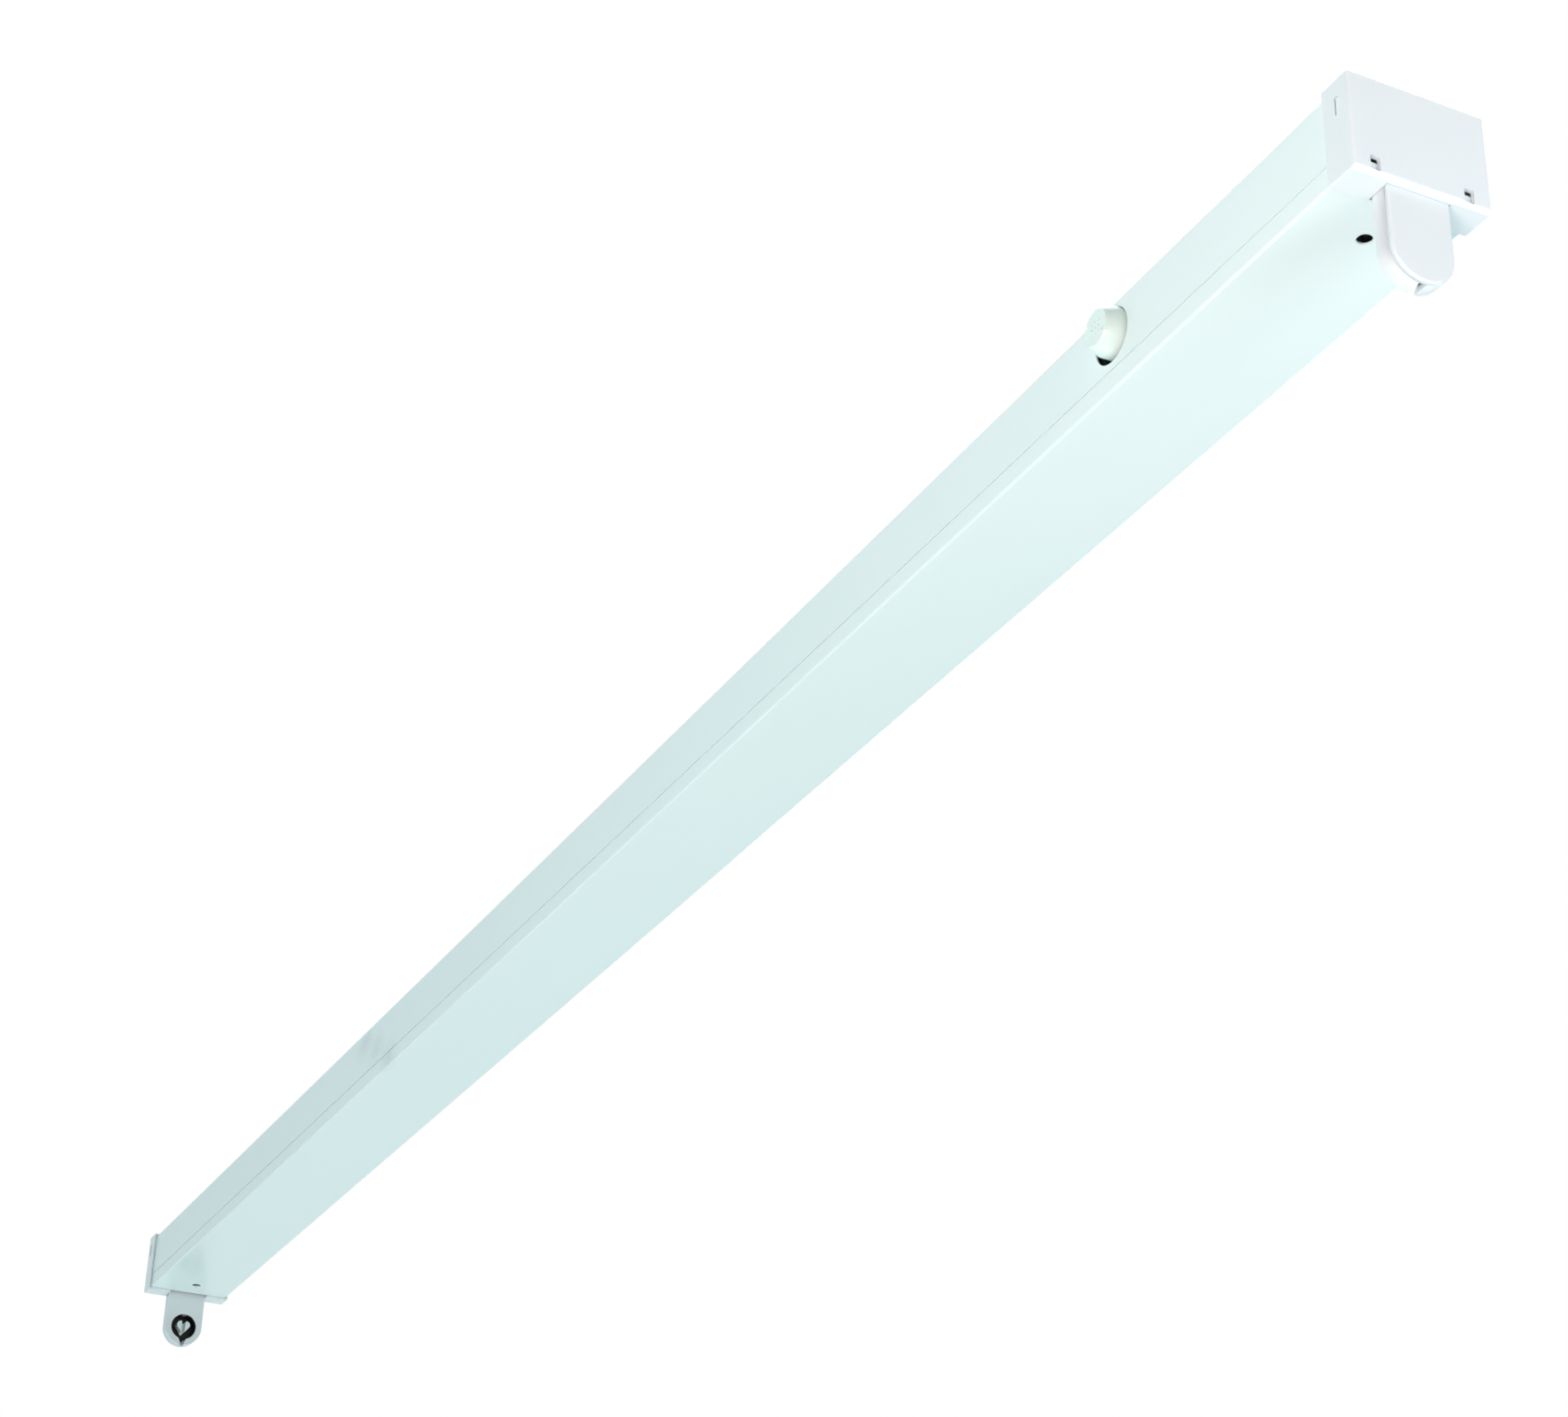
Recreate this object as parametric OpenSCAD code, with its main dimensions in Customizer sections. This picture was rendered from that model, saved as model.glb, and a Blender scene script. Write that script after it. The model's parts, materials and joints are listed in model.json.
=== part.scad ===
// Single-lamp ceiling batten for a straight fluorescent lamp with two pins at each end.
// Millimetres. +X runs to the right end, -Y is the side with the starter, +Z is the ceiling.
// The origin is on the ceiling plane at the middle of the batten.

/* [Lamp] */
// Length of the lamp between its end faces
lamp_l = 1500; // [1400:10:1800]
// Play that the lamp has between the two lampholders
lamp_play = 4; // [2:0.5:8]
// Distance between the two pins of the lamp
pin_pitch = 12.7; // [12:0.1:13.2]
// Depth of the lamp's axis below the ceiling
lamp_axis_h = 65.7; // [60:0.1:75]

/* [End caps] */
// Width of an end cap
cap_w = 60; // [58:0.5:68]
// Height of an end cap
cap_h = 42; // [40:0.5:50]
// How far an end cap reaches over the housing
cap_depth = 15; // [14:0.5:22]
// Thickness of an end cap's side and top walls
cap_side_t = 1.1; // [0.8:0.1:2]
// Thickness of an end cap's bottom wall
cap_bottom_t = 1.4; // [1.2:0.1:2.6]
// Thickness of an end cap's end wall
cap_end_t = 2; // [1.4:0.1:2.6]
// Rounding of the upright edges of the end face
cap_edge_r = 1.6; // [0.5:0.1:2.5]
// Rounding of the lower edge of the end face
cap_toe_r = 2.4; // [0.5:0.1:3]
// Width of the snap windows in the end face
window_w = 4.2; // [3:0.1:6]
// Height of the snap windows in the end face
window_h = 6; // [4:0.1:8]
// Distance of a snap window's centre from the middle
window_y = 20.2; // [18.5:0.1:24]
// Width of the latch window in each side of an end cap
latch_w = 3; // [2:0.1:4]
// Height of the latch window
latch_h = 8; // [5:0.5:12]
// Depth of the latch window's middle below the ceiling
latch_z = 10.8; // [9:0.1:16]
// Distance of the latch window's middle from the end face
latch_x = 6.5; // [5.5:0.1:8]

/* [Spine] */
// Thickness of the spine's sheet
sheet_t = 0.8; // [0.5:0.1:1.2]
// Height of the painted side wall, down to the joint with the cover
joint_h = 30.8; // [29.5:0.1:33]
// Height of the lip that the cover slides over
lip_h = 6; // [3:0.5:7]
// Rounding of the spine's folds
bend_r = 1.4; // [1:0.1:2.5]
// Distance between the two ceiling fixing slots
fix_spacing = 915; // [900:5:960]
// Width of a ceiling fixing slot
fix_slot_w = 6; // [4:0.5:7]
// Length of a ceiling fixing slot
fix_slot_l = 14; // [8:0.5:18]
// Radius of the raised pad round a fixing slot
pad_r = 14; // [12:0.5:18]
// Distance of the cable entry from the middle
entry_x = 120; // [110:1:125]
// Diameter of the cable entry hole
entry_d = 20; // [16:0.5:22]
// Distance between the conduit box holes on both sides of the cable entry
box_spacing = 50.8; // [48:0.1:54]
// Diameter of a conduit box hole
box_hole_d = 5; // [4:0.1:6]

/* [Cover] */
// Thickness of the cover's sheet
cover_t = 0.7; // [0.5:0.1:1]
// Rounding of the cover's lower edges
cover_r = 1.3; // [1:0.1:2.5]
// Height of the dark joint between spine and cover
joint_gap = 0.3; // [0.2:0.1:1]
// Diameter of the two round holes in the cover
cover_hole_d = 6.5; // [4:0.1:10]
// Distance of a round hole from the end face
cover_hole_x = 35; // [30:0.5:60]

/* [Lampholders] */
// Width of a lampholder
holder_w = 27; // [26:0.1:29]
// Thickness of a lampholder
holder_t = 9; // [8.6:0.1:11]
// Thickness of its outer shell
holder_back_t = 2; // [1.9:0.1:2.4]
// Distance from a lampholder's outer face to the end face
holder_inset = 3; // [2.8:0.1:5]
// How far a lampholder hangs below the end cap
holder_drop = 37.2; // [36.5:0.1:42]
// Depth of a lampholder's top below the ceiling
holder_top = 18; // [14:0.5:24]
// Rounding of the outer shell's rim
holder_edge_r = 1.1; // [0.4:0.1:1.4]
// Width of the slot through which the pins enter
pin_slot_w = 3; // [2.8:0.1:3.6]
// Diameter of the turning cup
rotor_d = 18.5; // [17.5:0.1:19]
// Wall of the turning cup
rotor_wall = 0.8; // [0.6:0.1:1]
// Width of the rotor's heart-shaped core
core_w = 9.7; // [8.5:0.1:10]
// Width of the slit through the core
core_slit = 2.7; // [2.5:0.1:3]

/* [Starter] */
// Distance of the starter hole from the right end face
starter_x = 160.5; // [140:0.5:200]
// Diameter of the hole in the side wall
starter_hole_d = 24.2; // [24:0.1:25]
// Depth of the hole's centre below the ceiling
starter_hole_z = 15.4; // [15.4:0.1:16.5]
// How far the starter sits above the middle of its hole
starter_rise = 1.2; // [0:0.1:1.2]
// How far the starter sits towards the end from the middle of its hole
starter_shift = 0.5; // [0:0.1:0.6]
// Diameter of the starter's can
starter_d = 21.2; // [20:0.1:21.6]
// Diameter of the can's nose
nose_d = 15.8; // [12:0.1:18]
// How far the nose stands out of the side wall
nose_out = 7.6; // [6:0.1:14]
// Length of the tapered shoulder below the nose
nose_taper = 5; // [2:0.1:5]
// Distance from the side wall to the starter's base
starter_in = 28.8; // [24:0.1:30]
// Angle that the starter turns through between locked and free
starter_turn = 90; // [75:1:95]

/* [Choke and capacitor] */
// Length of the choke's iron core
core_l = 186; // [150:1:200]
// Width of the choke
choke_w = 41; // [36:0.5:42]
// Height of the choke
choke_h = 27; // [22:0.5:28]
// Distance of the choke's middle from the batten's middle
choke_x = 330; // [320:1:335]
// Diameter of the capacitor
cap_can_d = 28; // [22:0.5:29]
// Length of the capacitor's can
cap_can_l = 72; // [50:1:90]
// Diameter of an insulated wire
wire_d = 2.2; // [1.6:0.1:2.4]

/* [Hidden] */

// Facets of round shapes, and a small overshoot for cuts
$fn = 48;
over = 1;
// Clearances: moulding over sheet, sheet over sheet, a sliding moulding, a running bore
cap_fit = 0.1;
sheet_fit = 0.1;
slide_fit = 0.25;
run_fit = 0.06;
loose_fit = 0.3;

// Places along X: lampholder faces and end face
x_face = (lamp_l + lamp_play) / 2;
x_back = x_face + holder_t;
half_l = x_back + holder_inset;
x_split = x_back - holder_back_t;

// Heights, all below the ceiling plane
stand_off = cap_side_t + cap_fit;
web_z = -stand_off - sheet_t;
floor_z = -(cap_h - cap_bottom_t);
cover_z = floor_z + cap_fit;
axis_z = -lamp_axis_h;
drop_z = -(cap_h + holder_drop);
arc_z = drop_z + holder_w / 2;

// Widths of the folded sheets
spine_w = cap_w - 2 * (cap_side_t + cap_fit);
wall_y = spine_w / 2;
cover_w = spine_w - 2 * sheet_fit;
lip_y = cover_w / 2 - cover_t - sheet_fit;
inner_y = wall_y - sheet_t;
bend_in = bend_r - sheet_t + 0.05;

// Solids extruded along X from a section drawn in Y and Z
module along_x(x0, x1) {
  translate([x0, 0, 0]) rotate([90, 0, 90]) linear_extrude(x1 - x0) children();
}

// A box between two corners
module block(a, b) {
  translate(a) cube(b - a);
}

// A disc or rod along X
module rod_x(x0, x1, r, y = 0, z = 0) {
  translate([x0, y, z]) rotate([0, 90, 0]) cylinder(h = x1 - x0, r = r);
}

// The right-hand shape, or its mirror image at the left end
module at_left() {
  mirror([1, 0, 0]) children();
}

// A slab of width w that reaches from z0 up to z1, with its lower (or upper) corners rounded
module rounded_low(w, z0, z1, r) {
  translate([-w / 2, z0 + r]) square([w, z1 - z0 - r]);
  translate([-w / 2 + r, z0]) square([w - 2 * r, z1 - z0]);
  for (s = [-1, 1]) translate([s * (w / 2 - r), z0 + r]) circle(r);
}

module rounded_high(w, z0, z1, r) {
  mirror([0, 1]) rounded_low(w, -z1, -z0, r);
}

// Spine: web with raised pads, side walls, and joggled lips behind the cover
spine_end = half_l - cap_end_t - loose_fit;
pad_xs = [-fix_spacing / 2, 0, fix_spacing / 2];
screw_r = 1.9;
screw_hole_r = 2;
latch_tab_out = 0.7;
knockout_in = 60;
knockout_x = half_l - knockout_in;

module spine_section() {
  difference() {
    rounded_high(spine_w, -joint_h, -stand_off, bend_r);
    rounded_high(2 * inner_y, -joint_h - over, web_z, bend_in);
  }
  for (s = [0, 1]) mirror([s, 0]) {
    translate([lip_y - sheet_t, -joint_h]) square([wall_y - lip_y + sheet_t, sheet_t]);
    translate([lip_y - sheet_t, -joint_h - lip_h]) square([sheet_t, lip_h + sheet_t]);
  }
}

module slot_x(l, w, z0, z1) {
  for (s = [-1, 1]) translate([s * (l - w) / 2, 0, z0]) cylinder(h = z1 - z0, d = w);
  block([-(l - w) / 2, -w / 2, z0], [(l - w) / 2, w / 2, z1]);
}

module spine() color("#eef5f6") {
  difference() {
    union() {
      along_x(-spine_end, spine_end) spine_section();
      for (x = pad_xs) translate([x, 0, web_z]) cylinder(h = -web_z, r = pad_r);
      // latch tabs pressed out of the side walls at the ends
      for (sx = [-1, 1], sy = [-1, 1]) translate([sx * (half_l - latch_x), sy * wall_y, -latch_z])
        cube([latch_w - 2 * loose_fit, 2 * latch_tab_out, latch_h - 2 * loose_fit], center = true);
    }
    for (x = pad_xs) translate([x, 0, web_z - over])
      cylinder(h = -web_z + over - sheet_t, r = pad_r - sheet_t);
    for (x = [pad_xs[0], pad_xs[2]]) translate([x, 0, 0])
      slot_x(fix_slot_l, fix_slot_w, -over - sheet_t, over);
    // cable entry with a conduit box hole on each side
    translate([-entry_x, 0, web_z - over]) cylinder(h = sheet_t + 2 * over, d = entry_d);
    for (s = [-1, 1]) translate([-entry_x + s * box_spacing / 2, 0, web_z - over])
      cylinder(h = sheet_t + 2 * over, d = box_hole_d);
    // scored knockouts near both ends
    for (s = [-1, 1]) translate([s * knockout_x, 0, -stand_off - sheet_t / 2]) difference() {
      cylinder(h = over, d = entry_d + 1);
      translate([0, 0, -over]) cylinder(h = 3 * over, d = entry_d);
    }
    // tapped holes of the screws that hold the pieces inside
    for (p = web_screws) translate([p[0], p[1], web_z - over])
      cylinder(h = sheet_t + 2 * over, r = screw_hole_r);
    pips(lip_y - sheet_t - over, lip_y + over, pip_r + loose_fit);
    // the starter's hole in the near side wall
    translate([half_l - starter_x, -wall_y - over, -starter_hole_z]) rotate([-90, 0, 0])
      cylinder(h = sheet_t + 2 * over, d = starter_hole_d, $fn = 96);
  }
}

// Snap pips on the cover's flanges, and the holes for them in the lips
pip_xs = [for (f = [-0.9, -0.45, 0, 0.45, 0.9]) f * half_l];
pip_z = -joint_h - 0.6 * lip_h;
pip_r = 1.5;
pip_out = 0.5;

module pips(y0, y1, r) {
  for (x = pip_xs, s = [0, 1]) mirror([0, s, 0]) translate([x, y0, pip_z]) rotate([-90, 0, 0])
    cylinder(h = y1 - y0, r = r);
}

// Cover: a shallow channel whose flanges slide over the spine's lips
cover_end = half_l - cap_end_t - 2;
notch_y = holder_w / 2 + 3.5;
nose_w = window_w - 1;
nose_x0 = half_l - 7;
nose_x1 = half_l - 4.9;

module cover() color("#f2f8f7") {
  pips(lip_y + sheet_fit - pip_out, lip_y + sheet_fit + cover_t / 2, pip_r);
  difference() {
    along_x(-cover_end, cover_end) difference() {
      rounded_low(cover_w, cover_z, -joint_h - joint_gap, cover_r);
      rounded_low(cover_w - 2 * cover_t, cover_z + cover_t, -joint_h + over, cover_r - cover_t + 0.05);
    }
    for (s = [-1, 1]) {
      block([s * (half_l - cap_depth) - (s < 0 ? cap_depth : 0), -notch_y, cover_z - over],
            [s * (half_l - cap_depth) + (s > 0 ? cap_depth : 0), notch_y, cover_z + cover_t + over]);
      translate([s * (half_l - cover_hole_x), 0, cover_z - over])
        cylinder(h = cover_t + 2 * over, d = cover_hole_d, $fn = 64);
      // slots for the noses of the end caps
      for (sy = [-1, 1]) translate([s * (nose_x0 + nose_x1) / 2, sy * window_y, cover_z])
        cube([nose_x1 - nose_x0 + 2 * loose_fit, nose_w + 2 * loose_fit, 4 * cover_t], center = true);
    }
  }
}

// End cap: a moulding that wraps the ends of spine and cover and carries the lampholder
rail_t = 1.5;
rail_y = holder_w / 2 + slide_fit;
rail_hook = 1.4;
shoulder_h = 3;
shoulder_out = 2.2;
rib_y = 6;
gusset_z = -holder_top - 8;
// Stop block behind each snap window, just beyond the end of the cover
stop_l = 1.7;
stop_h = 4.8;
stop_half = window_w / 2 + 0.6;

module cap_body() {
  edge = cap_edge_r;
  intersection() {
    along_x(half_l - cap_depth, half_l) rounded_low(cap_w, -cap_h, 0, 0.9);
    rotate([90, 0, 0]) linear_extrude(cap_w + 2, center = true) {
      translate([half_l - cap_depth, -cap_h]) square([cap_depth - cap_toe_r, cap_h]);
      translate([half_l - cap_depth, -cap_h + cap_toe_r]) square([cap_depth, cap_h - cap_toe_r]);
      translate([half_l - cap_toe_r, -cap_h + cap_toe_r]) circle(cap_toe_r);
    }
    translate([0, 0, -cap_h - over]) linear_extrude(cap_h + 2 * over) {
      translate([half_l - cap_depth, -cap_w / 2]) square([cap_depth - edge, cap_w]);
      translate([half_l - cap_depth, -cap_w / 2 + edge]) square([cap_depth, cap_w - 2 * edge]);
      for (s = [-1, 1]) translate([half_l - edge, s * (cap_w / 2 - edge)]) circle(edge);
    }
  }
}

module end_cap() {
  in_x = half_l - cap_end_t;
  rail_z0 = floor_z + shoulder_h + slide_fit;
  difference() {
    cap_body();
    block([half_l - cap_depth - over, -cap_w / 2 + cap_side_t, floor_z],
          [in_x, cap_w / 2 - cap_side_t, -cap_side_t]);
    // opening for the lampholder, open towards the lamp
    block([half_l - cap_depth - over, -rail_y, -cap_h - over], [x_back + slide_fit, rail_y, floor_z + over]);
    for (s = [-1, 1]) {
      translate([in_x - over, s * window_y - window_w / 2, floor_z + loose_fit])
        cube([cap_end_t + 2 * over, window_w, window_h]);
      translate([half_l - latch_x, s * (cap_w / 2 - cap_side_t / 2), -latch_z])
        cube([latch_w, 2 * over, latch_h], center = true);
    }
  }
  for (s = [0, 1]) mirror([0, s, 0]) {
    // guide rails with hooks, seat ribs, stop blocks and the snap noses under the cover
    block([x_face - slide_fit, rail_y, rail_z0], [in_x, rail_y + rail_t, -holder_top]);
    block([x_face - slide_fit - rail_t, rail_y - rail_hook, rail_z0],
          [x_face - slide_fit, rail_y + rail_t, -holder_top]);
    block([x_back, rib_y - rail_t / 2, floor_z + over], [in_x, rib_y + rail_t / 2, -holder_top]);
    block([nose_x0, window_y - nose_w / 2, floor_z],
          [nose_x1, window_y + nose_w / 2, cover_z + cover_t + 0.4]);
    block([in_x - stop_l, window_y - stop_half, floor_z], [in_x, window_y + stop_half, floor_z + stop_h]);
    // gusset between rail and end wall
    block([x_back - rail_t, rail_y + rail_t, gusset_z], [in_x, inner_y - cap_fit, gusset_z + rail_t]);
  }
}

module end_cap_right() color("#f4f6f7") end_cap();
module end_cap_left() color("#f4f6f7") at_left() end_cap();

// Lampholder: inner shell with the bore, the pin slot and the contact channels
bore_r = rotor_d / 2 + run_fit;
flange_r = rotor_d / 2 + 0.8;
flange_t = 0.7;
contact_y = rotor_d / 2 + 0.9;
contact_t = 0.5;
channel_front = 1.6;
funnel_half = 3.2;
funnel_low = 2.6;
// Where the wires enter at the top, and how deep their holes are
head_x = (x_face + channel_front + x_split) / 2;
head_y = contact_y + contact_t / 2;
head_dip = 4;

module holder_shell() {
  difference() {
    union() {
      rod_x(x_face, x_split, holder_w / 2, z = arc_z, $fn = 96);
      block([x_face, -holder_w / 2, arc_z], [x_split, holder_w / 2, -holder_top]);
      block([x_face, -holder_w / 2 - shoulder_out, floor_z],
            [x_split, holder_w / 2 + shoulder_out, floor_z + shoulder_h]);
    }
    rod_x(x_face - over, x_split + over, bore_r, z = axis_z, $fn = 96);
    block([x_face - over, -pin_slot_w / 2, drop_z - over], [x_split + over, pin_slot_w / 2, axis_z]);
    // funnel at the upper end of the pin slot
    along_x(x_face - over, x_split - 2) polygon([
      [-funnel_half, axis_z - bore_r + 0.9], [funnel_half, axis_z - bore_r + 0.9],
      [pin_slot_w / 2, axis_z - bore_r - funnel_low], [-pin_slot_w / 2, axis_z - bore_r - funnel_low]]);
    // channels for the contact blades, open to the back and to the bore
    for (s = [0, 1]) mirror([0, s, 0])
      block([x_face + channel_front, contact_y - loose_fit, axis_z - 4],
            [x_split + over, contact_y + contact_t + loose_fit, -holder_top - 3]);
    // wire holes in the top
    for (s = [-1, 1]) translate([head_x, s * head_y, -holder_top - head_dip])
      cylinder(h = head_dip + over, r = wire_d / 2 + slide_fit);
  }
}

module holder_shell_right() color("#e9f0f2") holder_shell();
module holder_shell_left() color("#e9f0f2") at_left() holder_shell();

// Outer shell with a rounded rim and a round recess for the rotor's flange
module holder_back() {
  r = holder_w / 2;
  f = min(holder_edge_r, 0.48 * holder_back_t);
  difference() {
    union() {
      translate([x_split, 0, arc_z]) rotate([0, 90, 0]) rotate([0, 0, -90])
      rotate_extrude(angle = 180, $fn = 96) {
        square([r - f, holder_back_t]);
        square([r, holder_back_t - f]);
        translate([r - f, holder_back_t - f]) circle(f);
      }
      translate([x_split, 0, arc_z]) linear_extrude(-holder_top - arc_z) {
        translate([0, -r]) square([holder_back_t - f, 2 * r]);
        translate([0, -r + f]) square([holder_back_t, 2 * (r - f)]);
        for (s = [-1, 1]) translate([holder_back_t - f, s * (r - f)]) circle(f);
      }
    }
    rod_x(x_split - over, x_split + flange_t + 2 * slide_fit, flange_r + loose_fit, z = axis_z, $fn = 96);
  }
}

module holder_back_right() color("#eaf1f4") holder_back();
module holder_back_left() color("#eaf1f4") at_left() holder_back();

// Rotor: a dark cup with two gaps for the pins, on a flange behind the shell
rotor_x = x_split + loose_fit;
cup_front = x_face + 0.4;
rotor_gap = pin_slot_w + 0.2;

module rotor() {
  rod_x(rotor_x, rotor_x + flange_t, flange_r, z = axis_z, $fn = 96);
  difference() {
    rod_x(cup_front, rotor_x, rotor_d / 2, z = axis_z, $fn = 96);
    rod_x(cup_front - over, rotor_x + over, rotor_d / 2 - rotor_wall, z = axis_z, $fn = 96);
    block([cup_front - over, -rotor_gap / 2, axis_z - rotor_d], [rotor_x, rotor_gap / 2, axis_z + rotor_d]);
  }
}

module rotor_right() color("#1c1f21") rotor();
module rotor_left() color("#1c1f21") at_left() rotor();

// The core's outline is a heart: two round lobes and sides that run tangent to them to a point
lobe_r = core_w * 0.285;
lobe_y = core_w / 2 - lobe_r;
lobe_z = core_w * 0.15;
tip_z = -core_w * 0.57;
tip_gap = sqrt(pow(lobe_y, 2) + pow(lobe_z - tip_z, 2));
tip_angle = atan2(lobe_z - tip_z, lobe_y) - asin(lobe_r / tip_gap);
side_l = sqrt(pow(tip_gap, 2) - pow(lobe_r, 2));

module rotor_core() {
  side = [side_l * cos(tip_angle), tip_z + side_l * sin(tip_angle)];
  translate([0, 0, axis_z]) difference() {
    along_x(x_face + 0.3, rotor_x) {
      for (s = [-1, 1]) translate([s * lobe_y, lobe_z]) circle(lobe_r);
      polygon([
        [0, tip_z], side, [lobe_y, lobe_z],
        [0, lobe_z + lobe_r / 2], [-lobe_y, lobe_z], [-side[0], side[1]]]);
    }
    block([x_face - over, -core_slit / 2, -core_w], [rotor_x - 0.8, core_slit / 2, core_w]);
  }
}

module rotor_core_right() color("#dfe9ea") rotor_core();
module rotor_core_left() color("#dfe9ea") at_left() rotor_core();

// Bronze blades beside the cup, with a foot that takes the wire at the top
module holder_contacts() {
  for (s = [0, 1]) mirror([0, s, 0])
    block([x_face + channel_front + loose_fit, contact_y, axis_z - 3.5],
          [x_split - loose_fit, contact_y + contact_t, -holder_top - head_dip]);
}

module holder_contacts_right() color("#b98a4a") holder_contacts();
module holder_contacts_left() color("#b98a4a") at_left() holder_contacts();

// Starter: its own frame has Z pointing out through the side wall and 0 at the starter's base
starter_cx = half_l - starter_x + starter_shift;
starter_cz = -starter_hole_z + starter_rise;
base_y = -wall_y + starter_in;
can_l = starter_in + nose_out;
can_wall = 0.9;
pin_r = pin_pitch / 2;
neck_r = 1.6;
head_r = 2.5;
socket_r = 12;
plate_t = 1.8;
neck_l = loose_fit + plate_t + loose_fit;
head_t = 1.6;
pocket_t = head_t + 2.4;
socket_t = plate_t + pocket_t + 1.8;
// Edge and floor of the can's nose, and the two grip notches in its rim
nose_edge = 1;
nose_t = 2;
grip_l = 2.5;
grip_w = 1.2;
grip_t = 1;
grip_angle = 150;
// Wire ends below the middle of the socket's back, and how deep they go in
wire_low = 8.6;
wire_dip = 1.4;

module at_starter() {
  translate([starter_cx, base_y, starter_cz]) rotate([90, 0, 0]) children();
}

module starter_can() color("#dff0ea") at_starter() difference() {
  straight_l = can_l - nose_taper - nose_edge;
  rotate_extrude($fn = 96) difference() {
    union() {
      square([starter_d / 2, straight_l]);
      translate([0, straight_l]) polygon([
        [0, 0], [starter_d / 2, 0], [nose_d / 2 + 0.6 * nose_edge, nose_taper + 0.2 * nose_edge],
        [nose_d / 2, nose_taper + nose_edge], [0, nose_taper + nose_edge]]);
    }
    translate([-over, -over]) square([starter_d / 2 - can_wall + over, straight_l - can_wall + over]);
    translate([-over, 0]) square([nose_d / 2 - can_wall + over, can_l - nose_t]);
  }
  for (a = [0, 180]) rotate([0, 0, a + grip_angle])
    translate([nose_d / 2 - grip_l, -grip_w / 2, can_l - grip_t])
      cube([grip_l + over, grip_w, grip_t + over]);
}

module starter_base() color("#e8ece8") at_starter()
  cylinder(h = 2.4, r = starter_d / 2 - can_wall - 0.05, $fn = 64);

module starter_pins() color("#c9a860") at_starter() for (s = [-1, 1]) translate([s * pin_r, 0, 0]) {
  translate([0, 0, -neck_l]) cylinder(h = neck_l, r = neck_r);
  translate([0, 0, -neck_l - head_t]) cylinder(h = head_t, r = head_r);
}

// Socket with two curved slots, each open wide at its free end
module curved_slot(half_w, z0, z1) {
  for (a = [0, 180]) rotate([0, 0, a]) {
    translate([0, 0, z0]) rotate_extrude(angle = starter_turn, $fn = 96)
      translate([pin_r - half_w, 0]) square([2 * half_w, z1 - z0]);
    for (b = [0, starter_turn]) rotate([0, 0, b]) translate([pin_r, 0, z0]) cylinder(h = z1 - z0, r = half_w);
  }
}

module starter_socket() color("#eef0ee") at_starter() difference() {
  translate([0, 0, -loose_fit - socket_t]) cylinder(h = socket_t, r = socket_r, $fn = 96);
  curved_slot(neck_r + loose_fit, -loose_fit - plate_t - over, over);
  curved_slot(head_r + loose_fit, -loose_fit - plate_t - pocket_t, -loose_fit - plate_t);
  for (a = [0, 180]) rotate([0, 0, a + starter_turn]) translate([pin_r, 0, -loose_fit - plate_t - over])
    cylinder(h = plate_t + 3 * over, r = head_r + loose_fit);
  for (s = [-1, 1]) translate([s * pin_r, -wire_low, -loose_fit - socket_t - over])
    cylinder(h = wire_dip + over, r = wire_d / 2 + loose_fit);
}

module socket_contacts() color("#b98a4a") at_starter() for (s = [-1, 1])
  translate([s * pin_r, 0, -loose_fit - plate_t - pocket_t]) cylinder(h = 0.6, r = head_r - loose_fit);

// Angle bracket that hangs the socket from the web
bracket_y = base_y + loose_fit + socket_t;
bracket_half = 9;
bracket_t = 1;
bracket_low = 6.5;

module starter_bracket() color("#c8ccce") {
  block([starter_cx - bracket_half, bracket_y, starter_cz - bracket_low],
        [starter_cx + bracket_half, bracket_y + bracket_t, web_z]);
  block([starter_cx - bracket_half, bracket_y + bracket_t, web_z - bracket_t],
        [starter_cx + bracket_half, bracket_y + bracket_half, web_z]);
}

// Choke: laminated core with two windows, a coil round its middle limb, a wrap and feet
choke_y = choke_w / 2;
wrap_t = 0.8;
iron_top = web_z - wrap_t;
iron_low = web_z - choke_h;
limb_y = choke_w * 0.16;
window_out = choke_w * 0.33;
coil_top = iron_top - choke_h * 0.18;
coil_low = iron_low + choke_h * 0.18;
coil_out = 8;
foot_l = 14;
foot_x = core_l / 2 + coil_out + foot_l / 2;
tail_half = 9;
tail_y = 5;
tail_t = 7;
tail_z = coil_low + 7;

module at_choke() {
  translate([choke_x, 0, 0]) children();
}

module ballast_core() color("#5d6166") at_choke() difference() {
  block([-core_l / 2, -choke_y + wrap_t, iron_low], [core_l / 2, choke_y - wrap_t, iron_top]);
  for (s = [0, 1]) mirror([0, s, 0])
    block([-core_l / 2 - over, limb_y, coil_low], [core_l / 2 + over, window_out, coil_top]);
}

module ballast_coil() color("#8a4b2c") at_choke() difference() {
  ends = core_l / 2 + coil_out;
  block([-ends, -window_out + sheet_fit, coil_low + sheet_fit],
        [ends, window_out - sheet_fit, coil_top - sheet_fit]);
  block([-core_l / 2 - sheet_fit, -limb_y - sheet_fit, coil_low - over],
        [core_l / 2 + sheet_fit, limb_y + sheet_fit, coil_top + over]);
}

module ballast_case() color("#c3c7c9") at_choke() difference() {
  union() {
    block([-foot_x - foot_l / 2, -choke_y, iron_top], [foot_x + foot_l / 2, choke_y, web_z]);
    for (s = [0, 1]) mirror([0, s, 0])
      block([-core_l / 2, choke_y - wrap_t, iron_low + 2], [core_l / 2, choke_y, iron_top]);
  }
  for (s = [-1, 1]) translate([s * foot_x, 0, iron_top - over])
    cylinder(h = wrap_t + 2 * over, r = screw_hole_r + loose_fit);
}

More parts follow.
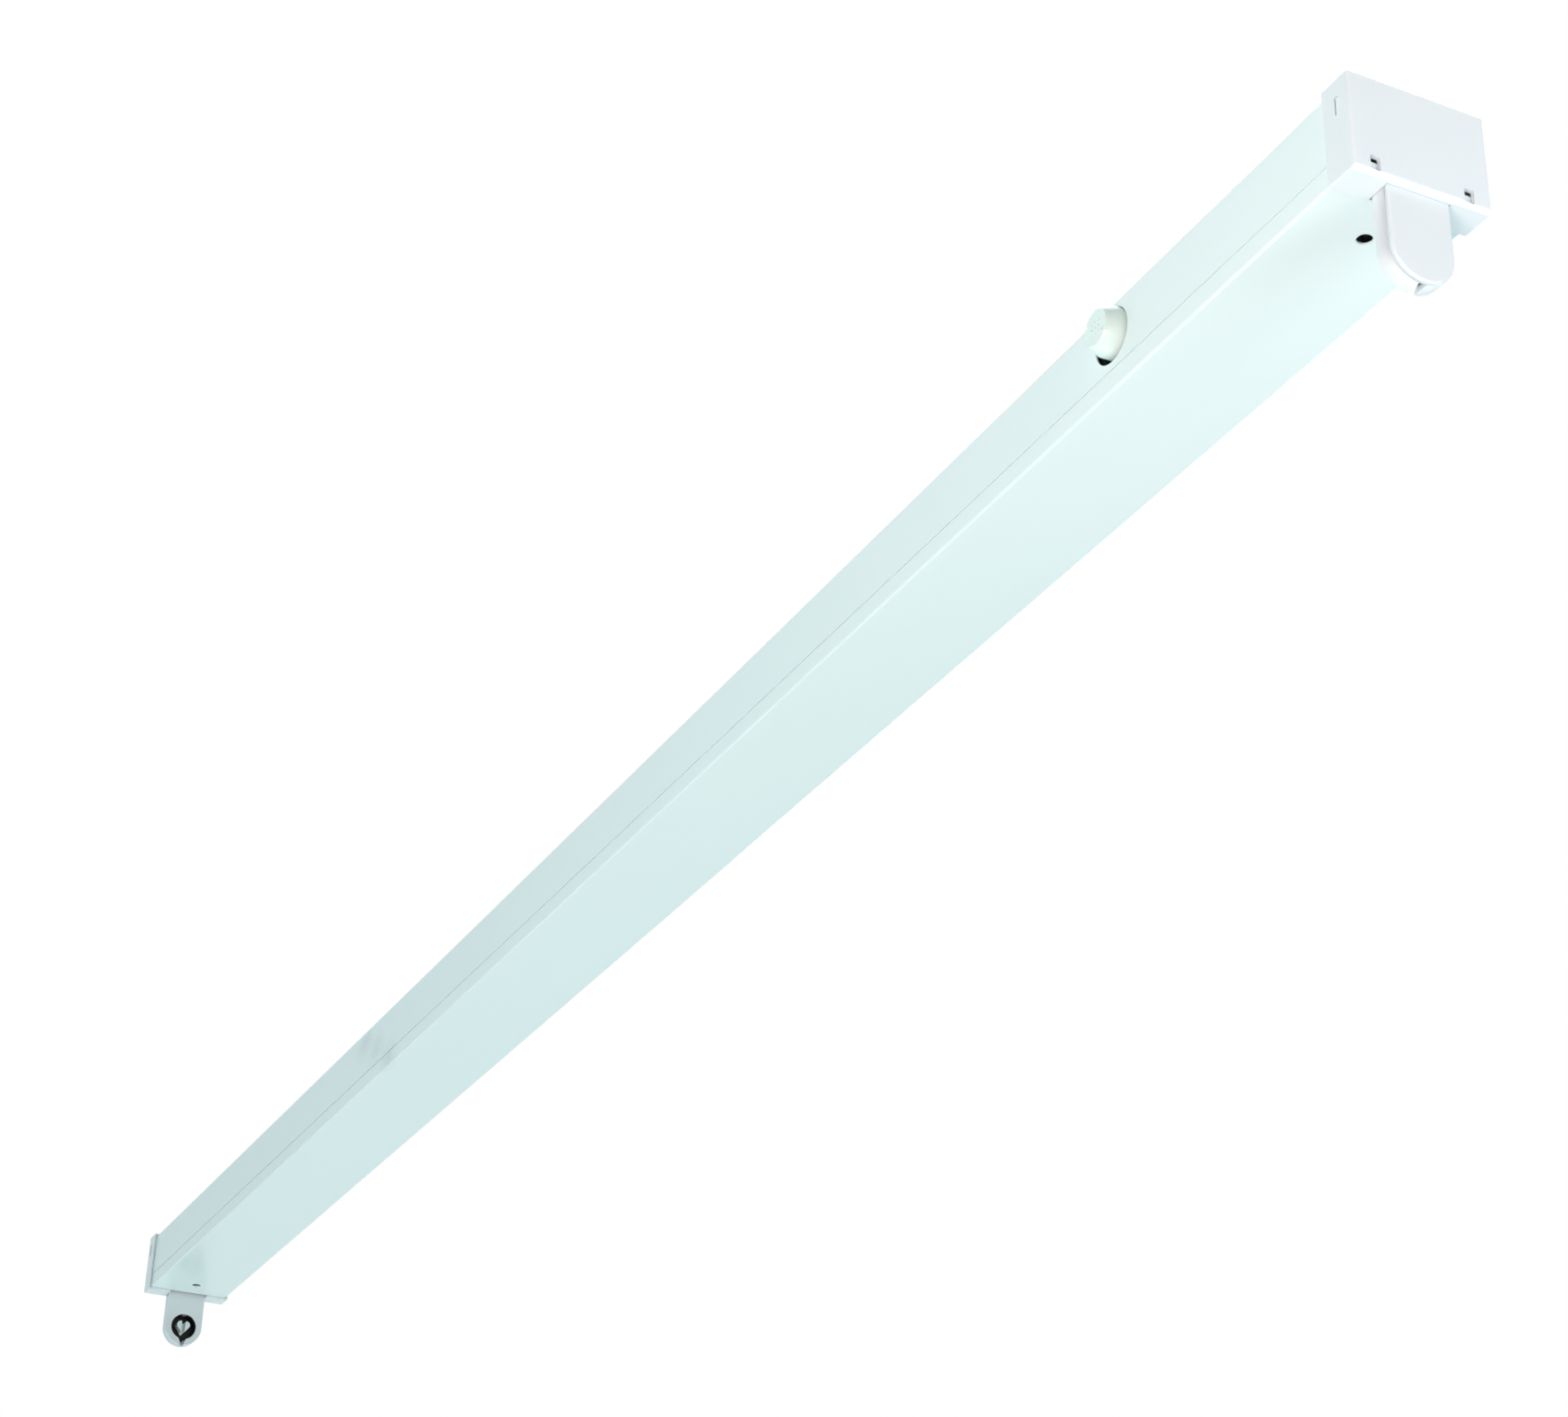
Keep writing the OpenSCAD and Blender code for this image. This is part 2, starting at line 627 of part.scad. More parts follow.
module ballast_terminals() color("#e6e2d6") at_choke() difference() {
  x1 = -core_l / 2 - coil_out;
  block([x1 - tail_t, -tail_half, tail_z - 5], [x1, tail_half, tail_z + 5]);
  for (y = [-tail_y, tail_y])
    rod_x(x1 - tail_t - over, x1 - tail_t + 3, wire_d / 2 + loose_fit, y = y, z = tail_z);
}

// Pan-headed screw that enters the web from below at x, y, with its head on a piece of thickness t
module web_screw(x, y, t) {
  translate([x, y, web_z - t]) cylinder(h = t + sheet_t + 0.2, r = screw_r);
  translate([x, y, web_z - t - 2.2]) difference() {
    cylinder(h = 2.2, r = 3.8);
    for (a = [0, 90]) rotate([0, 0, a]) translate([-2.2, -0.5, -over]) cube([4.4, 1, 1 + over]);
  }
}

module ballast_screws() color("#d8dadb") for (s = [-1, 1]) web_screw(choke_x + s * foot_x, 0, wrap_t);

// Capacitor with a crimped end, in a clip that hangs from the web
clip_base = 1.6;
clip_half = 10;
cap_r = cap_can_d / 2;
cap_z = web_z - clip_base - cap_r - sheet_fit;
cap_from_entry = 62;
cap_x1 = -entry_x - box_spacing / 2 - cap_from_entry;
cap_x0 = cap_x1 - cap_can_l;
crimp_l = 4;
crimp_in = 5;

module capacitor() color("#e9e7df") translate([cap_x0, 0, cap_z]) rotate([0, 90, 0])
rotate_extrude($fn = 72) {
  edge = 2;
  translate([0, edge]) square([cap_r, cap_can_l - 2 * edge]);
  translate([0, 0]) square([cap_r - edge, cap_can_l]);
  for (h = [edge, cap_can_l - edge]) intersection() {
    translate([cap_r - edge, h]) circle(edge);
    square([cap_r, cap_can_l]);
  }
  translate([0, cap_can_l - over]) square([cap_r - crimp_in, crimp_l + over]);
}

module capacitor_clip() color("#dcdcd6") {
  xm = (cap_x0 + cap_x1) / 2;
  difference() {
    union() {
      block([xm - clip_half, -clip_half + 1, cap_z + cap_r - 4], [xm + clip_half, clip_half - 1, web_z]);
      rod_x(xm - clip_half, xm + clip_half, cap_r + clip_base, z = cap_z, $fn = 72);
    }
    rod_x(xm - clip_half - over, xm + clip_half + over, cap_r + sheet_fit, z = cap_z, $fn = 72);
    block([xm - clip_half - over, -cap_r * 0.7, cap_z - cap_r - 2 * clip_base],
          [xm + clip_half + over, cap_r * 0.7, cap_z]);
    block([xm - clip_half - over, -cap_w, web_z], [xm + clip_half + over, cap_w, over]);
  }
}

// Three-pole terminal block with clamping screws, held by two fixing screws
term_pitch = 10;
term_x = -60;
term_half = 1.5 * term_pitch + 5.5;
term_y = 9;
term_h = 15;
term_hole_z = web_z - 8;
term_screw_y = 4.5;
pole_xs = [for (i = [-1:1]) term_x + i * term_pitch];
fix_xs = [term_x - term_half + 3, term_x + term_half - 3];

module terminal_block() color("#f1efe6") difference() {
  union() {
    block([term_x - term_half, -term_y, web_z - 3], [term_x + term_half, term_y, web_z]);
    for (x = pole_xs)
      block([x - term_pitch / 2 + 0.6, -term_y, web_z - term_h], [x + term_pitch / 2 - 0.6, term_y, web_z]);
  }
  for (x = pole_xs) {
    for (s = [0, 1]) mirror([0, s, 0]) translate([x, term_y - 3, term_hole_z]) rotate([-90, 0, 0])
      cylinder(h = 3 + over, r = wire_d / 2 + loose_fit);
    for (y = [-term_screw_y, term_screw_y]) translate([x, y, web_z - term_h - over])
      cylinder(h = 5 + over, r = 2.2);
  }
  for (x = fix_xs) translate([x, 0, web_z - 4]) cylinder(h = 4 + over, r = screw_hole_r);
}

module terminal_screws() color("#c9a860") for (x = pole_xs, y = [-term_screw_y, term_screw_y])
  translate([x, y, web_z - term_h + 1.6]) difference() {
    cylinder(h = 3.4, r = 2);
    translate([-2.2, -0.4, -over]) cube([4.4, 0.8, 1 + over]);
  }

module terminal_fixings() color("#d8dadb") for (x = fix_xs) {
  translate([x, 0, web_z - 3]) cylinder(h = 3 + sheet_t + 0.2, r = screw_r);
  translate([x, 0, web_z - 5]) cylinder(h = 2, r = 2.6);
}

// Earth point beside the cable entry
earth_from_box = 24;
earth_x = -entry_x - box_spacing / 2 - earth_from_box;
earth_y = 8;
earth_tail = 9;

module earth_stud() color("#d8dadb") web_screw(earth_x, earth_y, 0.8);

module earth_ring() color("#cfae62") difference() {
  union() {
    translate([earth_x, earth_y, web_z - 0.8]) cylinder(h = 0.8, r = 4.4);
    block([earth_x + 3, earth_y - 1.6, web_z - 0.8], [earth_x + earth_tail, earth_y + 1.6, web_z]);
  }
  translate([earth_x, earth_y, web_z - 2]) cylinder(h = 3, r = screw_r + 0.2);
}

web_screws = concat(
  [for (s = [-1, 1]) [choke_x + s * foot_x, 0]],
  [for (x = fix_xs) [x, 0]],
  [[earth_x, earth_y]]);

// Grommet that lines the cable entry
grommet_r = 6;

module entry_grommet() color("#2b2d2e") translate([-entry_x, 0, 0]) rotate_extrude($fn = 72) {
  translate([grommet_r, web_z - 1.5]) square([entry_d / 2 + 2.5 - grommet_r, 1.5]);
  translate([grommet_r, web_z - 0.5]) square([entry_d / 2 - 0.1 - grommet_r, sheet_t + 1]);
  translate([grommet_r, -stand_off]) square([entry_d / 2 + 2.5 - grommet_r, 0.9 * stand_off]);
}

// Wires: a round tube swept along a route whose corners are rounded
wire_sides = 8;
corner_steps = 3;

function unit(v) = v / norm(v);
function corner(a, b, c, r) = [for (i = [0:corner_steps]) let (t = i / corner_steps,
  p = b + unit(a - b) * r, q = b + unit(c - b) * r) p * pow(1 - t, 2) + b * 2 * t * (1 - t) + q * t * t];
function corner_r(p, i, r) = min(r, norm(p[i] - p[i - 1]) * 0.48, norm(p[i + 1] - p[i]) * 0.48);
function rounded_route(p, r) = concat([p[0]],
  [for (i = [1:len(p) - 2]) each corner(p[i - 1], p[i], p[i + 1], corner_r(p, i, r))],
  [p[len(p) - 1]]);
function heading(p, i) = unit(i == 0 ? p[1] - p[0] : i == len(p) - 1 ? p[i] - p[i - 1]
  : unit(p[i + 1] - p[i]) + unit(p[i] - p[i - 1]));
function ring_at(p, i, r) = let (t = heading(p, i), u = unit(cross(t, [1, 2, 4])), v = cross(t, u))
  [for (k = [0:wire_sides - 1]) p[i] + r * (cos(360 * k / wire_sides) * u + sin(360 * k / wire_sides) * v)];

module wire(route, bend = 5) {
  p = rounded_route(route, bend);
  n = len(p);
  pts = [for (i = [0:n - 1]) each ring_at(p, i, wire_d / 2)];
  faces = concat(
    [[for (k = [0:wire_sides - 1]) k]],
    [for (i = [0:n - 2], k = [0:wire_sides - 1]) let (j = (k + 1) % wire_sides)
      [i * wire_sides + k, (i + 1) * wire_sides + k, (i + 1) * wire_sides + j, i * wire_sides + j]],
    [[for (k = [wire_sides - 1:-1:0]) (n - 1) * wire_sides + k]]);
  polyhedron(pts, faces);
}

// Lanes beside the far wall, one wire above the other
lane_y = inner_y - 3.5;
lane_pitch = wire_d + 0.6;
lane_top = web_z - 2.6;
function lane(i) = lane_top - i * lane_pitch;
head_z = -holder_top - 3;
turn_x = x_face - 12;
choke_in_x = choke_x - core_l / 2 - coil_out - tail_t + 2;
term_in = term_y - 2;
socket_z = starter_cz - wire_low;
// Lengths over which the wires change lanes: at the block, the choke, the socket and the lampholders
block_run = 14;
choke_run = 18;
socket_run = 24;
cross_run = 4;
lead_run = 10;
// Where the wires on the starter's side of the block run
near_y = -term_y - 8;

module wire_live() color("#7a4a2a") wire([
  [pole_xs[2], term_in, term_hole_z], [pole_xs[2], lane_y, term_hole_z],
  [pole_xs[2] + block_run, lane_y, lane(2)],
  [choke_in_x - choke_run - cross_run, lane_y, lane(2)],
  [choke_in_x - choke_run, tail_y, tail_z], [choke_in_x, tail_y, tail_z]]);

module wire_choke_lamp() color("#7a4a2a") wire([
  [choke_in_x, -tail_y, tail_z], [choke_in_x - 10, -tail_y, tail_z],
  [choke_in_x - 12, lane_y - 6, tail_z + 5], [choke_in_x - 6, lane_y - 6, lane(0)],
  [choke_in_x + 2 * cross_run, lane_y, lane(0)], [turn_x, lane_y, lane(0)],
  [head_x, lane_y, lane(0)], [head_x, head_y, lane(0)], [head_x, head_y, head_z]]);

module wire_starter_near() color("#e8e8e4") wire([
  [starter_cx + pin_r, bracket_y - wire_dip, socket_z], [starter_cx + pin_r, lane_y, socket_z],
  [starter_cx + socket_run, lane_y, lane(2)], [turn_x - 4 * cross_run, lane_y, lane(2)],
  [turn_x - cross_run, lane_y - 8, lane(2)], [turn_x - cross_run, -head_y, lane(2)],
  [head_x, -head_y, lane(2)], [head_x, -head_y, head_z]]);

module wire_starter_far() color("#e8e8e4") wire([
  [starter_cx - pin_r, bracket_y - wire_dip, socket_z], [starter_cx - pin_r, lane_y, socket_z],
  [starter_cx - socket_run, lane_y, lane(1)], [4 * cross_run - turn_x, lane_y, lane(1)],
  [cross_run - turn_x, lane_y - 8, lane(1)], [cross_run - turn_x, -head_y, lane(1)],
  [-head_x, -head_y, lane(1)], [-head_x, -head_y, head_z]]);

module wire_neutral() color("#2f5f9e") wire([
  [pole_xs[0], term_in, term_hole_z], [pole_xs[0], lane_y - 5, term_hole_z],
  [pole_xs[0] - 2 * cross_run, lane_y - 5, lane(0)], [pole_xs[0] - 5 * cross_run, lane_y, lane(0)],
  [-turn_x, lane_y, lane(0)], [-head_x, lane_y, lane(0)],
  [-head_x, head_y, lane(0)], [-head_x, head_y, head_z]]);

module wire_earth() color("#7fa83a") wire([
  [pole_xs[1], -term_in, term_hole_z], [pole_xs[1], near_y, term_hole_z], [-entry_x, near_y, term_hole_z],
  [earth_x + 2 * earth_tail, earth_y, web_z - 4],
  [earth_x + earth_tail - 1, earth_y, web_z - 0.8 - wire_d / 2]]);

module wires_capacitor() color("#d9d6cc") for (s = [-1, 1]) wire([
  [cap_x1 + crimp_l, s * crimp_l, cap_z], [cap_x1 + crimp_l + lead_run, s * crimp_l, cap_z],
  [cap_x1 + crimp_l + 2 * lead_run, near_y - 4, cap_z + 2 * s],
  [pole_xs[1 - s] - s * 3, near_y - 4, cap_z + 2 * s], [pole_xs[1 - s], near_y + 2, term_hole_z - 1],
  [pole_xs[1 - s], -term_in, term_hole_z]]);

// Saddles that hold the wires in their lanes
clip_xs = [for (f = [-0.92, -0.62, -0.32, 0.24, 0.66, 0.9]) f * half_l];

module wire_clips() color("#e4e4de") for (x = clip_xs) translate([x, 0, 0]) difference() {
  block([-4, lane_y - wire_d / 2 - 1.2, lane(2) - wire_d / 2 - 1.4], [4, inner_y - bend_in, web_z]);
  block([-5, lane_y - wire_d / 2 - 0.2, lane(2) - wire_d / 2 - 0.2],
        [5, lane_y + wire_d / 2 + 0.2, lane(0) + wire_d / 2 + 0.2]);
}

spine();
cover();
end_cap_right();
end_cap_left();
holder_shell_right();
holder_shell_left();
holder_back_right();
holder_back_left();
rotor_right();
rotor_left();
rotor_core_right();
rotor_core_left();
holder_contacts_right();
holder_contacts_left();
starter_can();
starter_base();
starter_pins();
starter_socket();
socket_contacts();
starter_bracket();
ballast_case();
ballast_core();
ballast_coil();
ballast_terminals();
ballast_screws();
capacitor();
capacitor_clip();
terminal_block();
terminal_screws();
terminal_fixings();
earth_stud();
earth_ring();
entry_grommet();
wire_live();
wire_choke_lamp();
wire_starter_near();
wire_starter_far();
wire_neutral();
wire_earth();
wires_capacitor();
wire_clips();
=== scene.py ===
"""Finishes, fine forms and stage of a ceiling batten for one straight lamp, round its CAD frame."""

import json
import math

import bmesh
import bpy
from mathutils import Matrix, Vector


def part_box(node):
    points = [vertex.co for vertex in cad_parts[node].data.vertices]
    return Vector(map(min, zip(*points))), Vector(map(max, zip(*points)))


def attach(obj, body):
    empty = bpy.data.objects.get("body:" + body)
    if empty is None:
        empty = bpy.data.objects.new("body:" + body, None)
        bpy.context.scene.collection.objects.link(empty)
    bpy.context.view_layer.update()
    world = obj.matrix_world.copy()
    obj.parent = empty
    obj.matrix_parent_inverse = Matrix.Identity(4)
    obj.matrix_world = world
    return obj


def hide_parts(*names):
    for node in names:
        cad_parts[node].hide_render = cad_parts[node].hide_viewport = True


bl_info = {
    "name": "Batten light",
    "version": (1, 0, 0),
    "blender": (4, 5, 0),
    "location": "View3D > Sidebar > Batten",
    "description": "Finishes, fine forms and stage of a ceiling batten",
    "category": "Object",
}

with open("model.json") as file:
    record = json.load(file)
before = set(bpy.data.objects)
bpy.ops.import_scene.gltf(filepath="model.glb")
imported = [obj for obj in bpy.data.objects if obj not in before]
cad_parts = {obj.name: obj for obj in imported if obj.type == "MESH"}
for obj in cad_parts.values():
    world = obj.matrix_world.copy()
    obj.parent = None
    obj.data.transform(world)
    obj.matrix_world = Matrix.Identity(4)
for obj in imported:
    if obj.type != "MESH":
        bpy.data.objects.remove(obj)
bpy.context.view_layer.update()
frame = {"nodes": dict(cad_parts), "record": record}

MM = 0.001
QUARTER_TURN = math.radians(90)
SIDES = ("right", "left")

# Lowest and highest corners of pieces, and places that follow from them, in metres
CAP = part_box("end_cap_right")
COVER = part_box("cover")
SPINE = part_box("spine")
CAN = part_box("starter_can")
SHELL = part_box("holder_shell_right")
END_X = CAP[1].x
CAN_X = (CAN[0].x + CAN[1].x) / 2
CAN_Z = (CAN[0].z + CAN[1].z) / 2

# Copied CAD meshes: the distance within which points merge, the angle under which faces
# count as one flat face, and the angle over which an edge is rounded
MERGE = 2e-6
FLAT_ANGLE = math.radians(0.4)
SHARP_ANGLE = math.radians(32)

# How much rounder the edges of a core are than its rotor's
CORE_ROUNDER = 2

# Cover: steps of a fold, sides of the drill for a round hole, height of the cutters in sheet
# thicknesses, size of a latch slot along and across, and distance of its middle from the
# batten's end face
FOLD_STEPS = 8
DRILL_SIDES = 64
CUTTER_SHEETS = 6
LATCH_SLOT = (2.7 * MM, 3.8 * MM)
LATCH_INSET = 5.95 * MM

# Dimples of the starter, in their own radii: how far out of the nose the middles of their
# balls lie, how far in it the middle of their painted shade lies, and how deep that painted shade
# reaches from there; then how far the painted shade reaches across, in pitches
BALL_OUT = 0.3
PAINTED_SHADE_IN = 0.8
PAINTED_SHADE_DEPTH = 0.74
PAINTED_SHADE_ACROSS = 2.8

# Mark on the side wall, a smudge and a painted soft shade across the wall: the middles of its
# patches, along from the mark's place and in height under the ceiling face, how far it reaches
# into the wall, and its colour
SMUDGE_AND_SHADE_PATCHES = ((-0.018, -0.010), (0.006, -0.022), (0.030, -0.034))
SMUDGE_AND_SHADE_DEPTH = 0.008
SMUDGE_AND_SHADE_GREY = (0.42, 0.46, 0.45)

# Darkest and lightest tone of a pale finish, as shares of its colour
TONES = (0.975, 1.02)

# Lamps: place, point that it faces, and side of its square, in metres
LAMPS = {
    "key": ((1.2, -0.8, -0.7), (0.6, 0, 0), 0.4),
    "side": ((0.5, -1.3, -0.35), (0.2, 0, 0), 0.6),
    "under": ((-0.5, -0.1, -1.6), (-0.5, 0, 0), 1.0),
    "end": ((1.35, 0.2, -0.2), (0.75, 0, -0.04), 0.4),
    "top": ((0, 0.5, 1.6), (0, 0, 0), 1.6),
    "back": ((-1.3, 1.7, 0.1), (-0.1, 0, 0), 1.2),
}

# Camera: width of the sensor in mm, and distance in metres within which nothing is drawn
SENSOR_WIDTH = 36
CLIP_START = 0.01

# Floor: half its side in metres, its greys, and how much of it shows through the white
FLOOR_REACH = 14.0
FLOOR_GREYS = (0.86, 0.90)
FLOOR_SHOWN = 0.25
WHITE = (1, 1, 1, 1)


def colour_property(name, description, default):
    """A colour that a user would change, in linear light."""
    return bpy.props.FloatVectorProperty(
        name=name, description=description, default=default, size=3, subtype="COLOR", min=0, max=1
    )


def length_property(name, description, default):
    """A size in metres."""
    return bpy.props.FloatProperty(
        name=name,
        description=description,
        default=default,
        subtype="DISTANCE",
        unit="LENGTH",
        precision=5,
    )


def place_property(name, description, default):
    """A point in metres."""
    return bpy.props.FloatVectorProperty(
        name=name, description=description, default=default, subtype="XYZ", unit="LENGTH"
    )


def power_property(name, description, default):
    """The red, green and blue power of a lamp, in watts."""
    return bpy.props.FloatVectorProperty(
        name=name, description=description, default=default, size=3, min=0, unit="POWER"
    )


class BattenFinish(bpy.types.PropertyGroup):
    """Colours of the batten's finishes, and its mark: a smudge with painted shade on the side wall.
    """

    enamel: colour_property("Enamel", "Painted sheet of spine and cover", (0.79, 0.915, 0.908))
    cap: colour_property("End cap", "Moulded end caps", (0.755, 0.838, 0.865))
    holder: colour_property("Lampholder", "Moulded lampholder shells", (0.72, 0.80, 0.825))
    ring: colour_property("Rotor", "Black cup in the lampholder", (0.004, 0.005, 0.005))
    core: colour_property("Core", "Heart-shaped core in the cup", (0.74, 0.86, 0.86))
    starter: colour_property("Starter", "Starter can", (0.76, 0.915, 0.865))
    # the wear mark is a smudge together with a painted soft shade across the side wall
    mark_x: length_property("Mark place", "Place of the wear mark along the batten", -0.262)
    mark_length: length_property("Mark length", "Half length of a patch of the wear mark", 0.020)
    mark_height: length_property("Mark height", "Half height of a patch of the wear mark", 0.015)


class BattenForm(bpy.types.PropertyGroup):
    """Fine forms that the visible pieces get."""

    cap_edge: length_property("Cap edge", "Rounding of the end caps' edges", 0.45 * MM)
    holder_edge: length_property("Holder edge", "Rounding of the lampholders' edges", 0.35 * MM)
    sheet_edge: length_property("Sheet edge", "Rounding of cut sheet edges", 0.15 * MM)
    rotor_edge: length_property("Rotor edge", "Rounding of the rotors' edges", 0.15 * MM)
    can_edge: length_property("Can edge", "Rounding of the starter's edges", 0.25 * MM)
    sheet: length_property("Cover sheet", "Thickness of the cover's sheet", 0.7 * MM)
    fold: length_property("Cover fold", "Outer radius of the cover's folds", 1.3 * MM)
    notch: length_property("Notch", "Half width of the cover's end notch", 17 * MM)
    hole: length_property("Cover hole", "Diameter of the cover's round holes", 6.5 * MM)
    hole_place: length_property("Hole place", "Distance of a hole from the end face", 35 * MM)
    slot_y: length_property("Latch slot", "Distance of a latch slot from the middle", 20.2 * MM)
    dimple: length_property("Dimple", "Radius of a dimple in the starter's nose", 0.5 * MM)
    dimple_pitch: length_property("Dimple pitch", "Distance between two dimples", 2.6 * MM)
    dimples: bpy.props.IntProperty(
        name="Dimples", description="Number of dimples in a row", default=3, min=1
    )


class BattenStage(bpy.types.PropertyGroup):
    """Camera, floor, soft light and lamps."""

    eye: place_property("Camera", "Place of the camera", (1.45309, -0.57346, -0.71058))
    aim: place_property("Aim", "Point that the camera looks at", (0.2534, 0, -0.01208))
    roll: bpy.props.FloatProperty(
        name="Roll",
        description="Turn of the camera about its view",
        default=math.radians(1.443),
        subtype="ANGLE",
    )
    lens: bpy.props.FloatProperty(
        name="Lens", description="Focal length in mm", default=70.579, unit="CAMERA"
    )
    floor_z: length_property("Floor", "Height of the floor under the batten", -2.4)
    sky_left: colour_property(
        "Light from the left", "The soft light that comes along +X", (0.69, 0.93, 0.97)
    )
    sky_right: colour_property(
        "Light from the right", "The soft light that comes along -X", (0.02, 0.02, 0.02)
    )
    sky: bpy.props.FloatProperty(
        name="Soft light", description="Strength of the soft light", default=1.12, min=0
    )
    key: power_property("Key", "Power of the lamp beside the camera", (8.8, 6.7, 6.3))
    side: power_property("Side", "Power of the lamp on the starter's side", (2.5, 2.5, 2.5))
    under: power_property("Under", "Power of the lamp under the left half", (6.1, 6.0, 5.8))
    end: power_property("End", "Power of the lamp at the right end", (3.15, 3.05, 3.1))
    top: power_property("Top", "Power of the lamp above", (14.0, 14.0, 14.0))
    back: power_property("Back", "Power of the lamp behind", (12.0, 12.0, 12.0))


class Socket:
    """An output of a node. Python's operators on it add Math nodes."""

    def __init__(self, tree, output):
        self.tree = tree
        self.output = output

    def math(self, operation, first, second):
        return self.tree.node("ShaderNodeMath", {"operation": operation}, first, second)

    def __add__(self, other):
        return self.math("ADD", self, other)

    def __radd__(self, other):
        return self.math("ADD", other, self)

    def __sub__(self, other):
        return self.math("SUBTRACT", self, other)

    def __rsub__(self, other):
        return self.math("SUBTRACT", other, self)

    def __mul__(self, other):
        return self.math("MULTIPLY", self, other)

    def __rmul__(self, other):
        return self.math("MULTIPLY", other, self)


class Tree:
    """A node tree whose nodes are made by one call each."""

    def __init__(self, tree):
        self.tree = tree

    def node(self, kind, settings=None, *values, out=0, **named):
        """Adds a node, with its settings first and then the values or links of its sockets."""
        node = self.tree.nodes.new(kind)
        for key, value in (settings or {}).items():
            setattr(node, key, value)
        for socket, value in zip(node.inputs, values):
            self.feed(socket, value)
        for key, value in named.items():
            self.feed(node.inputs[key.replace("_", " ")], value)
        return Socket(self, node.outputs[out])

    def feed(self, socket, value):
        """Links a socket, or gives it a value; None leaves it as it is."""
        if isinstance(value, Socket):
            self.tree.links.new(value.output, socket)
        elif value is not None:
            socket.default_value = value

    def vector(self, x=0.0, y=0.0, z=0.0):
        return self.node("ShaderNodeCombineXYZ", None, x, y, z)

    def mix(self, share, first, second):
        """First and second are colours; share is how much of the second shows."""
        # a Mix node's colours come after its share and the five sockets of its other types
        others = [None] * 5
        return self.node(
            "ShaderNodeMix", {"data_type": "RGBA"}, share, *others, first, second, out=2
        )


class Shader(Tree):
    """The nodes of one material."""

    def __init__(self, name):
        self.material = bpy.data.materials.new(name)
        self.material.use_nodes = True
        super().__init__(self.material.node_tree)
        self.surface = self.tree.nodes["Principled BSDF"]
        self.place = self.node("ShaderNodeTexCoord", out="Object")

    def noise(self, scale, detail=2.0, stretch=(1, 1, 1)):
        """Noise of so many grains to the metre, drawn out along an axis by a stretch under 1."""
        spot = self.node("ShaderNodeMapping", None, Vector=self.place, Scale=stretch)
        return self.node("ShaderNodeTexNoise", None, Vector=spot, Scale=scale, Detail=detail)

    def bands(self, axis, scale, distortion):
        """Even lines across an axis, by the scale and waviness of a Wave Texture."""
        return self.node(
            "ShaderNodeTexWave",
            {"bands_direction": axis},
            Vector=self.place,
            Scale=scale,
            Distortion=distortion,
        )

    def near(self, centre, reach):
        """1 at a point, fading smoothly to 0 at the surface of an ellipsoid round it."""
        away = self.node("ShaderNodeVectorMath", {"operation": "SUBTRACT"}, self.place, centre)
        share = [1 / r for r in reach]
        scaled = self.node("ShaderNodeVectorMath", {"operation": "MULTIPLY"}, away, share)
        far = self.node("ShaderNodeVectorMath", {"operation": "LENGTH"}, scaled, out="Value")
        settings = {"interpolation_type": "SMOOTHSTEP"}
        return self.node("ShaderNodeMapRange", settings, far, 0.0, 1.0, 1.0, 0.0)

    def bump(self, height, distance, strength):
        """A normal from a height of 0 to 1, which stands for that distance in metres."""
        return self.node(
            "ShaderNodeBump", None, Height=height, Distance=distance, Strength=strength
        )

    def finish(self, colour, roughness, normal=None, **constant):
        """Feeds the surface; the constant values go on its own sockets."""
        self.feed(self.surface.inputs["Base Color"], colour)
        self.feed(self.surface.inputs["Roughness"], roughness)
        self.feed(self.surface.inputs["Normal"], normal)
        for key, value in constant.items():
            self.surface.inputs[key.replace("_", " ")].default_value = value
        return self.material


def shade(colour, factor=1.0):
    """A colour made lighter or darker, with its alpha."""
    return tuple(min(1.0, c * factor) for c in colour) + (1.0,)


def pale_tones(colour):
    """The darkest and the lightest tone of a pale finish."""
    return [shade(colour, factor) for factor in TONES]


def enamel(name, finish):
    """Stoved white enamel: soft clouds, orange peel, a faint smudge with painted shade on the side
    wall.
    """
    s = Shader(name)
    clouds = s.noise(7.0, detail=3.0)
    streaks = s.noise(60.0, stretch=(0.12, 1, 1))
    broken = s.noise(90.0, detail=3.0, stretch=(0.5, 1, 1))
    peel = s.noise(420.0) + s.noise(1500.0, detail=1.0) * 0.25
    reach = (finish.mark_length, SMUDGE_AND_SHADE_DEPTH, finish.mark_height)
    wall_y = SPINE[0].y
    # the mark's patches step down the wall's height: a smudge and a painted soft shade in one grey
    mark = sum(s.near((finish.mark_x + x, wall_y, z), reach) for x, z in SMUDGE_AND_SHADE_PATCHES)
    smudge_and_shade = mark * (broken * 0.3 + 0.1)
    white = s.mix(clouds * 0.5 + streaks * 0.3, *pale_tones(finish.enamel))
    return s.finish(
        s.mix(smudge_and_shade, white, shade(SMUDGE_AND_SHADE_GREY)),
        0.18 + clouds * 0.06 + smudge_and_shade * 0.5,
        s.bump(peel, distance=0.00003, strength=0.35),
        Specular_IOR_Level=0.3,
    )


